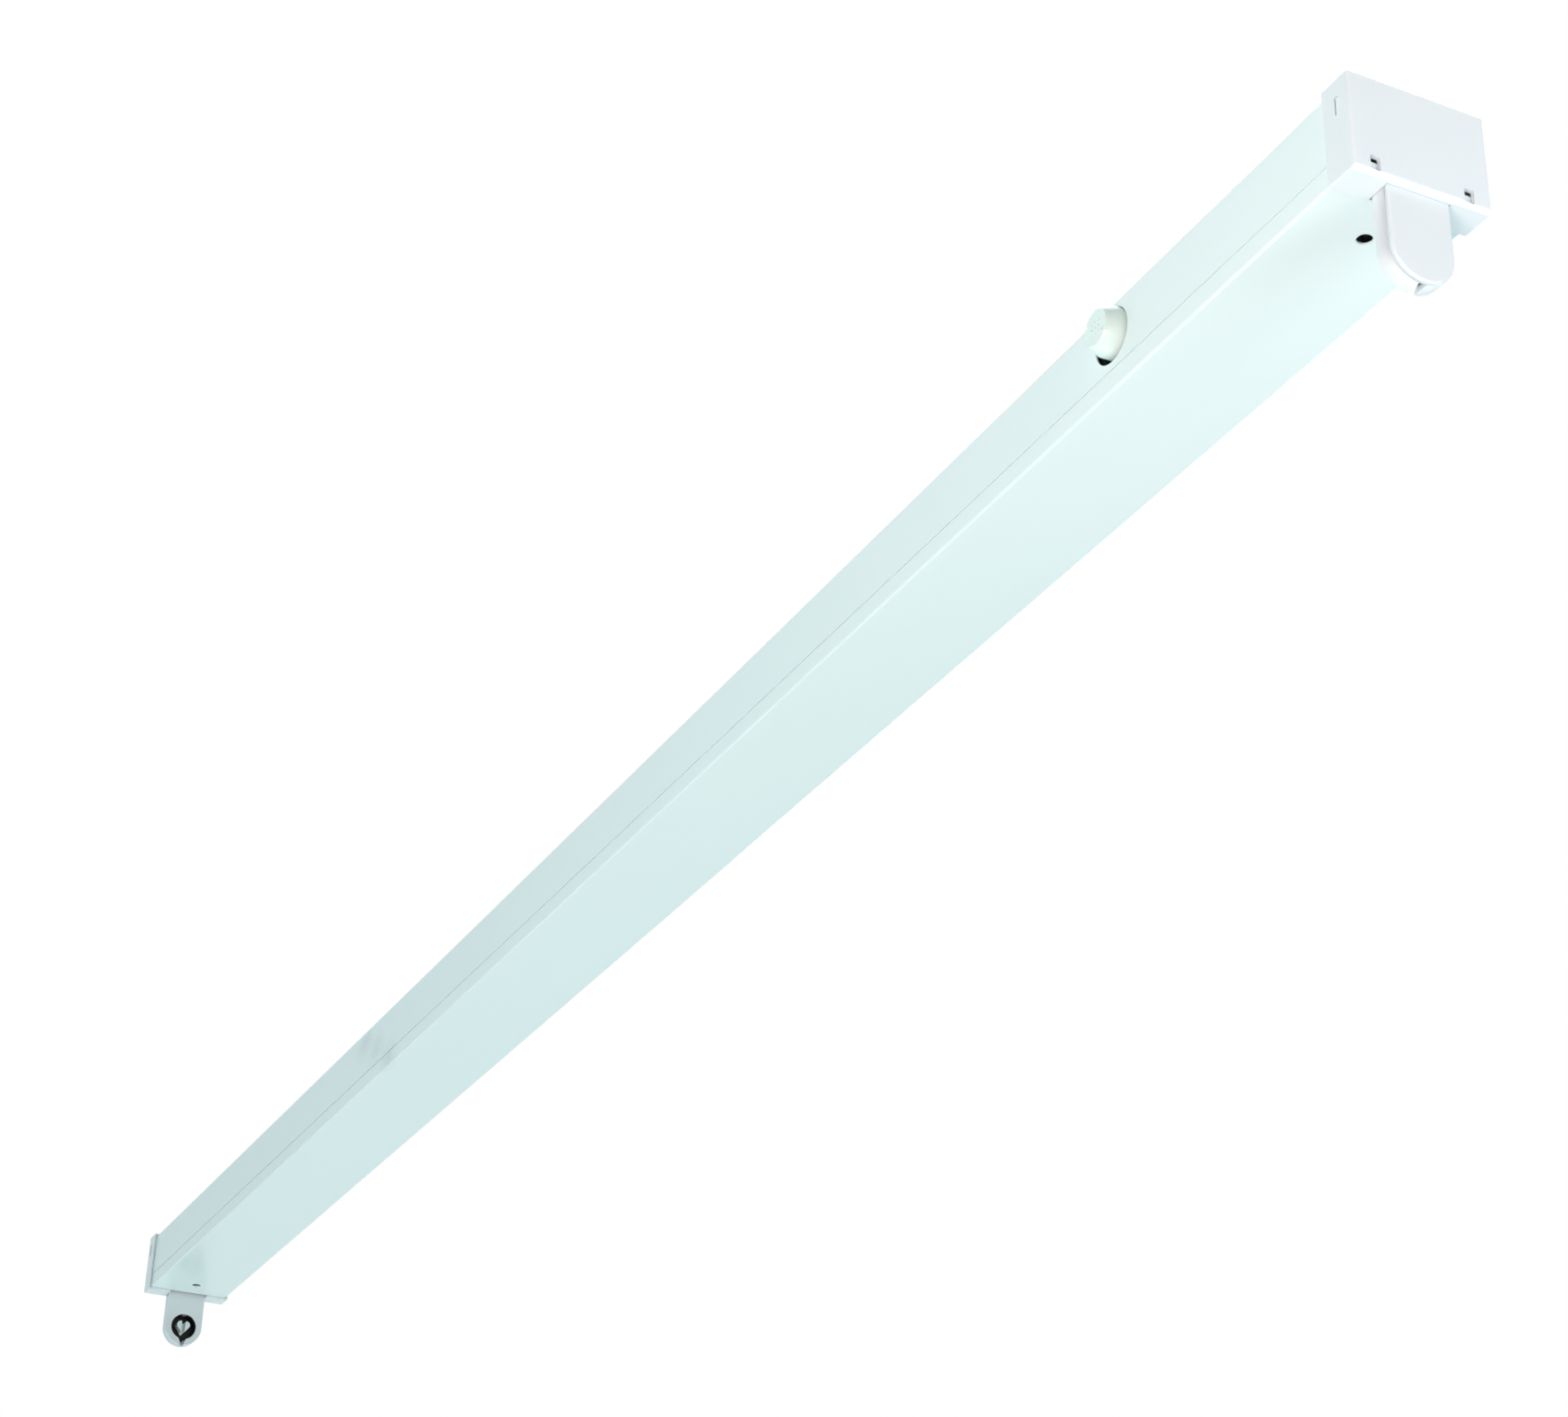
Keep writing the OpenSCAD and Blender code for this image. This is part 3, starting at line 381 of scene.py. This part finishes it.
def moulding(name, colour, roughness=0.36, painted_shade=None, **constant):
    """Moulded thermoplastic: a fine even grain with slow changes of gloss and tone.

    Painted shade, if given, is the centre and the reach of the hollows that it darkens with a dark
    colour.
    """
    s = Shader(name)
    slow = s.noise(35.0)
    fine = s.noise(2600.0)
    tone = s.mix(slow * 0.6 + fine * 0.2, *pale_tones(colour))
    if painted_shade:
        # painted shade: a dark colour laid into the hollows where shade falls
        tone = s.mix(s.near(*painted_shade), tone, shade((0.10, 0.12, 0.11)))
    grain = s.bump(fine, distance=0.00002, strength=0.3)
    return s.finish(tone, roughness - 0.05 + slow * 0.1, grain, **constant)


def rolled_metal(name, colour, roughness):
    """Rolled strip or plated steel, with lines along the rolling direction."""
    s = Shader(name)
    lines = s.noise(900.0, detail=3.0, stretch=(0.04, 1, 1))
    stain = s.noise(60.0, detail=3.0)
    tone = s.mix(lines * 0.5 + stain * 0.4, shade(colour, 0.78), shade(colour, 1.08))
    grain = s.bump(lines, distance=0.00001, strength=0.4)
    return s.finish(tone, roughness + lines * 0.14, grain, Metallic=1.0)


def laminations(name):
    """Edges of the choke's iron sheets under a thin varnish."""
    s = Shader(name)
    sheets = s.bands("Y", scale=320.0, distortion=0.4)
    stain = s.noise(45.0, detail=3.0)
    dark, light = shade((0.075, 0.08, 0.085)), shade((0.26, 0.27, 0.28))
    tone = s.mix(sheets * 0.6 + stain * 0.3, dark, light)
    edges = s.bump(sheets, distance=0.00006, strength=0.6)
    return s.finish(tone, 0.5 - stain * 0.12, edges, Metallic=0.6)


def winding(name):
    """Varnished copper wire, wound along the choke."""
    s = Shader(name)
    turns = s.bands("Z", scale=480.0, distortion=1.0)
    varnish = s.noise(80.0, detail=3.0)
    dark, light = shade((0.11, 0.035, 0.015)), shade((0.36, 0.13, 0.05))
    tone = s.mix(turns * 0.7 + varnish * 0.3, dark, light)
    wires = s.bump(turns, distance=0.0001, strength=0.7)
    return s.finish(tone, 0.3 + varnish * 0.2, wires, Coat_Weight=0.4, Coat_Roughness=0.2)


def insulation(name, colour):
    """Plastic insulation of a wire, drawn smooth and a little dusty."""
    s = Shader(name)
    dust = s.noise(140.0, detail=3.0)
    drawn = s.noise(700.0, detail=1.0, stretch=(0.1, 1, 1))
    dusty = [c * 0.85 + 0.06 for c in colour]
    tone = s.mix(dust * 0.7, shade(colour), shade(dusty))
    return s.finish(tone, 0.38 + dust * 0.14, s.bump(drawn, distance=0.00001, strength=0.3))


def dark_rubber(name):
    """Matt black rubber with a bloom."""
    s = Shader(name)
    bloom = s.noise(180.0, detail=3.0)
    tone = s.mix(bloom, shade((0.012, 0.012, 0.012)), shade((0.035, 0.035, 0.036)))
    grain = s.bump(s.noise(1800.0), distance=0.00003, strength=0.4)
    return s.finish(tone, 0.62 + bloom * 0.18, grain)


def link(name, content):
    """A new object with that mesh, camera or light, at the origin."""
    piece = bpy.data.objects.new(name, content)
    bpy.context.scene.collection.objects.link(piece)
    return piece


def made_real(piece):
    """Replaces a piece's mesh by what its modifiers make of it, and removes them."""
    live = piece.evaluated_get(bpy.context.evaluated_depsgraph_get())
    mesh = bpy.data.meshes.new_from_object(live)
    piece.modifiers.clear()
    piece.data = mesh
    return piece


def round_edges(piece, width, segments=3, joint=None):
    """Rounds the sharp edges of a closed mesh, apart from those in the planes X = +-joint."""
    bm = bmesh.new()
    bm.from_mesh(piece.data)
    weight = bm.edges.layers.float.new("bevel_weight_edge")
    for edge in bm.edges:
        in_joint = joint and all(abs(abs(vert.co.x) - joint) < MERGE for vert in edge.verts)
        if edge.is_manifold and edge.calc_face_angle() > SHARP_ANGLE and not in_joint:
            edge[weight] = 1.0
    bm.to_mesh(piece.data)
    bm.free()
    bevel = piece.modifiers.new("edge", "BEVEL")
    bevel.width = width
    bevel.segments = segments
    bevel.limit_method = "WEIGHT"
    bevel.harden_normals = True
    return made_real(piece)


def merged(mesh):
    """Merges a mesh's doubles, makes its flat faces whole and shades it smooth."""
    if "custom_normal" in mesh.attributes:
        mesh.attributes.remove(mesh.attributes["custom_normal"])
    bm = bmesh.new()
    bm.from_mesh(mesh)
    bmesh.ops.remove_doubles(bm, verts=bm.verts, dist=MERGE)
    bmesh.ops.dissolve_limit(bm, angle_limit=FLAT_ANGLE, verts=bm.verts, edges=bm.edges)
    for face in bm.faces:
        face.smooth = True
    bm.to_mesh(mesh)
    bm.free()
    return mesh


def dressed(node, edge, **rounding):
    """A copy of a CAD node with whole faces and rounded edges, which stands for that node."""
    mesh = merged(frame["nodes"][node].data.copy())
    piece = round_edges(link(f"{node}_formed", mesh), edge, **rounding)
    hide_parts(node)
    return piece


def paint(piece, material):
    """Gives a piece its finish as its one material."""
    piece.data.materials.clear()
    piece.data.materials.append(material)


def place(piece, body, material):
    """Paints a new piece and puts it on its body."""
    paint(piece, material)
    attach(piece, body)


def recipe(name, inputs):
    """A Geometry Nodes tree with a geometry input and the named inputs.

    Returns its nodes, the sockets of its inputs, and the inputs' identifiers.
    """
    tree = bpy.data.node_groups.new(name, "GeometryNodeTree")
    face = tree.interface
    face.new_socket("Geometry", in_out="INPUT", socket_type="NodeSocketGeometry")
    identifiers = {}
    for label, kind in inputs.items():
        made = face.new_socket(label, in_out="INPUT", socket_type=kind)
        identifiers[label] = made.identifier
    face.new_socket("Geometry", in_out="OUTPUT", socket_type="NodeSocketGeometry")
    entry = tree.nodes.new("NodeGroupInput")
    nodes = Tree(tree)
    sockets = {output.name: Socket(nodes, output) for output in entry.outputs if output.name}
    return nodes, sockets, identifiers


def finish_recipe(nodes, geometry, material):
    """Ends a tree in Realize Instances and Set Material."""
    real = nodes.node("GeometryNodeRealizeInstances", None, geometry)
    painted = nodes.node("GeometryNodeSetMaterial", None, Geometry=real, Material=material)
    end = nodes.tree.nodes.new("NodeGroupOutput")
    nodes.feed(end.inputs[0], painted)


def run_recipe(piece, nodes, identifiers, values):
    """Runs a tree on a piece with the named values and keeps the mesh that it makes."""
    modifier = piece.modifiers.new("recipe", "NODES")
    modifier.node_group = nodes.tree
    for label, value in values.items():
        modifier[identifiers[label]] = value
    return made_real(piece)


def moved(nodes, geometry, to, turn=None):
    """The geometry moved to a place, after its turn in radians."""
    return nodes.node(
        "GeometryNodeTransform", None, Geometry=geometry, Translation=to, Rotation=turn
    )


def cut_away(nodes, solid, cutters):
    """The solid without what the cutters take from it."""
    joined = nodes.tree.nodes.new("GeometryNodeJoinGeometry")
    for cutter in reversed(cutters):
        nodes.tree.links.new(cutter.output, joined.inputs[0])
    whole = Socket(nodes, joined.outputs[0])
    real = nodes.node("GeometryNodeRealizeInstances", None, whole)
    cut = nodes.tree.nodes.new("GeometryNodeMeshBoolean")
    cut.operation = "DIFFERENCE"
    nodes.feed(cut.inputs["Mesh 1"], solid)
    nodes.feed(cut.inputs["Mesh 2"], real)
    return Socket(nodes, cut.outputs["Mesh"])


def arc(centre, radius, start, end):
    """Points of a fold on an arc, angles in degrees."""
    share = (end - start) / FOLD_STEPS
    turns = [math.radians(start + share * i) for i in range(FOLD_STEPS + 1)]
    return [(centre[0] + radius * math.cos(t), centre[1] + radius * math.sin(t)) for t in turns]


def cover_profile(form):
    """The cover's folded section in Y and Z, as one closed loop of points."""
    half = COVER[1].y
    low, high = COVER[0].z, COVER[1].z
    centre = (half - form.fold, low + form.fold)
    outside = [(half, high), *arc(centre, form.fold, 0, -90)]
    inside = [*arc(centre, form.fold - form.sheet, -90, 0), (half - form.sheet, high)]
    across = [(-y, z) for y, z in reversed(outside)]
    back = [(-y, z) for y, z in reversed(inside)]
    return outside + across + back + inside


def loop_mesh(name, points):
    """A mesh of one closed loop of edges in the X and Y plane."""
    mesh = bpy.data.meshes.new(name)
    count = len(points)
    edges = [(i, (i + 1) % count) for i in range(count)]
    mesh.from_pydata([(x, y, 0) for x, y in points], edges, [])
    return mesh


def cover_recipe():
    """Sweeps the cover's section along the batten, and cuts its holes, notches and slots."""
    labels = ["Half length", "Sheet", "Floor", "Hole", "Hole place"]
    labels += ["Notch", "Notch depth", "Slot Y", "Slot X"]
    inputs = {label: "NodeSocketFloat" for label in labels}
    inputs["Material"] = "NodeSocketMaterial"
    nodes, given, identifiers = recipe("cover sheet", inputs)
    half = given["Half length"]
    floor = given["Floor"]
    section = nodes.node("GeometryNodeMeshToCurve", None, given["Geometry"])
    ends = (nodes.vector(z=half * -1), nodes.vector(z=half))
    path = nodes.node("GeometryNodeCurvePrimitiveLine", None, *ends)
    swept = nodes.node(
        "GeometryNodeCurveToMesh", None, Curve=path, Profile_Curve=section, Fill_Caps=True
    )
    sheet = moved(nodes, swept, None, turn=(QUARTER_TURN, 0, QUARTER_TURN))
    tall = given["Sheet"] * CUTTER_SHEETS
    radius = given["Hole"] * 0.5
    drill = nodes.node(
        "GeometryNodeMeshCylinder", None, Vertices=DRILL_SIDES, Radius=radius, Depth=tall
    )
    notch_size = nodes.vector(given["Notch depth"] * 2, given["Notch"] * 2, tall)
    notch = nodes.node("GeometryNodeMeshCube", None, notch_size)
    slot = nodes.node("GeometryNodeMeshCube", None, nodes.vector(*LATCH_SLOT, tall))
    cutters = []
    for side in (-1, 1):
        cutters.append(moved(nodes, drill, nodes.vector(given["Hole place"] * side, 0, floor)))
        cutters.append(moved(nodes, notch, nodes.vector(half * side, 0, floor)))
        for lane in (-1, 1):
            at_slot = nodes.vector(given["Slot X"] * side, given["Slot Y"] * lane, floor)
            cutters.append(moved(nodes, slot, at_slot))
    finish_recipe(nodes, cut_away(nodes, sheet, cutters), given["Material"])
    return nodes, identifiers


def dimples_recipe():
    """Presses a square of round dimples into the starter's nose."""
    inputs = {
        "Rows": "NodeSocketInt",
        "Pitch": "NodeSocketFloat",
        "Dimple": "NodeSocketFloat",
        "Place": "NodeSocketVector",
        "Material": "NodeSocketMaterial",
    }
    nodes, given, identifiers = recipe("nose dimples", inputs)
    rows = given["Rows"]
    side = given["Pitch"] * (rows - 1)
    grid = nodes.node("GeometryNodeMeshGrid", None, side, side, rows, rows)
    ball = nodes.node(
        "GeometryNodeMeshUVSphere", None, Segments=16, Rings=8, Radius=given["Dimple"]
    )
    balls = nodes.node("GeometryNodeInstanceOnPoints", None, Points=grid, Instance=ball)
    outward = moved(nodes, balls, given["Place"], turn=(QUARTER_TURN, 0, 0))
    finish_recipe(nodes, cut_away(nodes, given["Geometry"], [outward]), given["Material"])
    return nodes, identifiers


class BATTEN_OT_housing(bpy.types.Operator):
    """Forms and paints the spine and the cover"""

    bl_idname = "batten.housing"
    bl_label = "Housing"

    def execute(self, context):
        form = context.scene.batten_form
        white = enamel("enamel", context.scene.batten_finish)
        spine = dressed("spine", form.sheet_edge, segments=2)
        place(spine, "batten", white)
        cover = link("cover_formed", loop_mesh("cover section", cover_profile(form)))
        nodes, identifiers = cover_recipe()
        values = {
            "Half length": COVER[1].x,
            "Sheet": form.sheet,
            "Floor": COVER[0].z,
            "Hole": form.hole,
            "Hole place": END_X - form.hole_place,
            "Notch": form.notch,
            "Notch depth": COVER[1].x - CAP[0].x,
            "Slot Y": form.slot_y,
            "Slot X": END_X - LATCH_INSET,
            "Material": white,
        }
        run_recipe(cover, nodes, identifiers, values)
        merged(cover.data)
        round_edges(cover, form.sheet_edge, segments=2)
        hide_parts("cover")
        place(cover, "batten", white)
        return {"FINISHED"}


class BATTEN_OT_end_caps(bpy.types.Operator):
    """Forms and finishes both end caps"""

    bl_idname = "batten.end_caps"
    bl_label = "End caps"

    def execute(self, context):
        colour = context.scene.batten_finish.cap
        plastic = moulding("cap moulding", colour, Coat_Weight=0.15, Coat_Roughness=0.2)
        for side in SIDES:
            cap = dressed(f"end_cap_{side}", context.scene.batten_form.cap_edge)
            place(cap, "batten", plastic)
        return {"FINISHED"}


class BATTEN_OT_lampholders(bpy.types.Operator):
    """Forms and finishes the lampholders, their rotors and cores"""

    bl_idname = "batten.lampholders"
    bl_label = "Lampholders"

    def execute(self, context):
        finish = context.scene.batten_finish
        form = context.scene.batten_form
        plastic = moulding("holder moulding", finish.holder, roughness=0.4)
        black = moulding(
            "rotor moulding", finish.ring, roughness=0.34, Specular_IOR_Level=0.2
        )
        white = moulding("core moulding", finish.core, roughness=0.3)
        for side in SIDES:
            for part in ("shell", "back"):
                # shell and back meet flush in one plane, where their edges stay sharp
                piece = dressed(f"holder_{part}_{side}", form.holder_edge, joint=SHELL[1].x)
                place(piece, "batten", plastic)
            rotor = dressed(f"rotor_{side}", form.rotor_edge)
            place(rotor, f"rotor_{side}", black)
            core = dressed(f"rotor_core_{side}", form.rotor_edge * CORE_ROUNDER)
            place(core, f"rotor_{side}", white)
        return {"FINISHED"}


class BATTEN_OT_starter(bpy.types.Operator):
    """Forms and finishes the starter's can, with the dimples in its nose"""

    bl_idname = "batten.starter"
    bl_label = "Starter"

    def execute(self, context):
        form = context.scene.batten_form
        colour = context.scene.batten_finish.starter
        nose_y = CAN[0].y
        # painted shade in the nose's dimples: a dark colour that darkens them beyond their own
        # shade
        across = form.dimple_pitch * PAINTED_SHADE_ACROSS
        middle = (CAN_X, nose_y + form.dimple * PAINTED_SHADE_IN, CAN_Z)
        painted_shade = (middle, (across, form.dimple * PAINTED_SHADE_DEPTH, across))
        plastic = moulding("starter moulding", colour, 0.3, painted_shade, Coat_Weight=0.2)
        can = dressed("starter_can", form.can_edge)
        nodes, identifiers = dimples_recipe()
        values = {
            "Rows": form.dimples,
            "Pitch": form.dimple_pitch,
            "Dimple": form.dimple,
            "Place": (CAN_X, nose_y - form.dimple * BALL_OUT, CAN_Z),
            "Material": plastic,
        }
        run_recipe(can, nodes, identifiers, values)
        place(can, "starter", plastic)
        return {"FINISHED"}


class BATTEN_OT_inside(bpy.types.Operator):
    """Finishes the pieces inside the housing"""

    bl_idname = "batten.inside"
    bl_label = "Inside"

    def execute(self, context):
        finishes = {
            "cream_moulding": moulding("cream moulding", (0.74, 0.72, 0.62), roughness=0.45),
            "bronze": rolled_metal("bronze strip", (0.60, 0.36, 0.13), roughness=0.32),
            "zinc_steel": rolled_metal("zinc plate", (0.62, 0.64, 0.66), roughness=0.36),
            "lamination_steel": laminations("laminations"),
            "varnished_winding": winding("varnished winding"),
            "grommet_rubber": dark_rubber("grommet rubber"),
            "brown_insulation": insulation("brown insulation", (0.10, 0.035, 0.015)),
            "white_insulation": insulation("white insulation", (0.66, 0.66, 0.63)),
            "blue_insulation": insulation("blue insulation", (0.012, 0.05, 0.22)),
            "green_insulation": insulation("green insulation", (0.10, 0.24, 0.02)),
        }
        slots = {row["node"]: row["material_slot"] for row in frame["record"]["subparts"]}
        for name, piece in frame["nodes"].items():
            slot = slots[name]
            if slot in finishes:
                paint(piece, finishes[slot])
        return {"FINISHED"}


def aimed(eye, aim, roll=0.0):
    """The matrix of a camera or lamp at eye that looks at aim."""
    ahead = (Vector(aim) - Vector(eye)).normalized()
    level = ahead.cross(Vector((0, 0, 1))).normalized()
    upright = level.cross(ahead)
    right = level * math.cos(roll) + upright * math.sin(roll)
    up = right.cross(ahead)
    return Matrix.Translation(eye) @ Matrix((right, up, -ahead)).transposed().to_4x4()


def area_lamp(name, eye, aim, power, size):
    """A soft square lamp that the camera doesn't see; power is its red, green and blue power."""
    data = bpy.data.lights.new(name, "AREA")
    data.energy = max(power)
    data.color = [part / max(power) for part in power]
    data.size = size
    lamp = link(name, data)
    lamp.matrix_world = aimed(eye, aim)
    lamp.visible_camera = False


def seen_white(nodes, surface, plain, bright):
    """Shows the bright closure to the camera, mirrors and glass, and the plain one to the rest."""
    path = nodes.tree.nodes.new("ShaderNodeLightPath")
    camera = Socket(nodes, path.outputs["Is Camera Ray"])
    glossy = Socket(nodes, path.outputs["Is Glossy Ray"])
    clear = Socket(nodes, path.outputs["Is Transmission Ray"])
    either = camera.math("MAXIMUM", camera, camera.math("MAXIMUM", glossy, clear))
    nodes.feed(surface, nodes.node("ShaderNodeMixShader", None, either, plain, bright))


class BATTEN_OT_stage(bpy.types.Operator):
    """Sets the camera, the lamps, the world and the floor"""

    bl_idname = "batten.stage"
    bl_label = "Stage"

    def execute(self, context):
        scene = context.scene
        stage = scene.batten_stage
        scene.view_settings.view_transform = "Standard"
        data = bpy.data.cameras.new("camera")
        data.sensor_width = SENSOR_WIDTH
        data.sensor_fit = "HORIZONTAL"
        data.lens = stage.lens
        data.clip_start = CLIP_START
        scene.camera = link("camera", data)
        scene.camera.matrix_world = aimed(stage.eye, stage.aim, stage.roll)
        for name, (eye, aim, size) in LAMPS.items():
            area_lamp(name, eye, aim, getattr(stage, name), size)
        self.world(scene, stage)
        self.floor(stage)
        return {"FINISHED"}

    def world(self, scene, stage):
        """A soft light that changes from one end to the other, seen as white."""
        scene.world = bpy.data.worlds.new("world")
        scene.world.use_nodes = True
        nodes = Tree(scene.world.node_tree)
        nodes.tree.nodes.clear()
        towards = nodes.node("ShaderNodeTexCoord", out="Generated")
        along = nodes.node("ShaderNodeSeparateXYZ", None, towards)
        # the direction's X goes from -1 to 1, and the light changes from -0.5 to 0.5
        sky = nodes.mix(along + 0.5, shade(stage.sky_left), shade(stage.sky_right))
        plain = nodes.node("ShaderNodeBackground", None, Color=sky, Strength=stage.sky)
        bright = nodes.node("ShaderNodeBackground", None, Color=WHITE, Strength=1.0)
        end = nodes.tree.nodes.new("ShaderNodeOutputWorld")
        seen_white(nodes, end.inputs["Surface"], plain, bright)

    def floor(self, stage):
        """A wide pale floor far under the batten, seen nearly white with a faint shadow."""
        edges = (-FLOOR_REACH, FLOOR_REACH)
        points = [(x, y, stage.floor_z) for x in edges for y in edges]
        mesh = bpy.data.meshes.new("floor")
        mesh.from_pydata(points, [], [(0, 2, 3, 1)])
        s = Shader("floor")
        speck = s.noise(14.0, detail=3.0)
        s.finish(s.mix(speck, *[shade((grey, grey, grey)) for grey in FLOOR_GREYS]), 0.7)
        plain = Socket(s, s.surface.outputs["BSDF"])
        white = s.node("ShaderNodeEmission", None, Color=WHITE, Strength=1.0)
        bright = s.node("ShaderNodeMixShader", None, FLOOR_SHOWN, white, plain)
        seen_white(s, s.tree.nodes["Material Output"].inputs["Surface"], plain, bright)
        mesh.materials.append(s.material)
        link("floor", mesh)


OPERATORS = (
    BATTEN_OT_stage,
    BATTEN_OT_housing,
    BATTEN_OT_end_caps,
    BATTEN_OT_lampholders,
    BATTEN_OT_starter,
    BATTEN_OT_inside,
)


class BATTEN_PT_pieces(bpy.types.Panel):
    """The batten's sizes, colours and building steps"""

    bl_label = "Batten light"
    bl_idname = "BATTEN_PT_pieces"
    bl_space_type = "VIEW_3D"
    bl_region_type = "UI"
    bl_category = "Batten"

    def draw(self, context):
        scene = context.scene
        for group in (scene.batten_finish, scene.batten_form, scene.batten_stage):
            for name in group.__annotations__:
                self.layout.prop(group, name)
        for operator in OPERATORS:
            self.layout.operator(operator.bl_idname)


GROUPS = {
    "batten_finish": BattenFinish,
    "batten_form": BattenForm,
    "batten_stage": BattenStage,
}
CLASSES = (*GROUPS.values(), *OPERATORS, BATTEN_PT_pieces)


def register():
    for each in CLASSES:
        bpy.utils.register_class(each)
    for name, group in GROUPS.items():
        setattr(bpy.types.Scene, name, bpy.props.PointerProperty(type=group))


def unregister():
    for name in GROUPS:
        delattr(bpy.types.Scene, name)
    for each in reversed(CLASSES):
        bpy.utils.unregister_class(each)


def main():
    """Registers the classes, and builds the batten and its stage."""
    register()
    bpy.ops.batten.stage()
    bpy.ops.batten.housing()
    bpy.ops.batten.end_caps()
    bpy.ops.batten.lampholders()
    bpy.ops.batten.starter()
    bpy.ops.batten.inside()


if __name__ == "__main__":
    main()
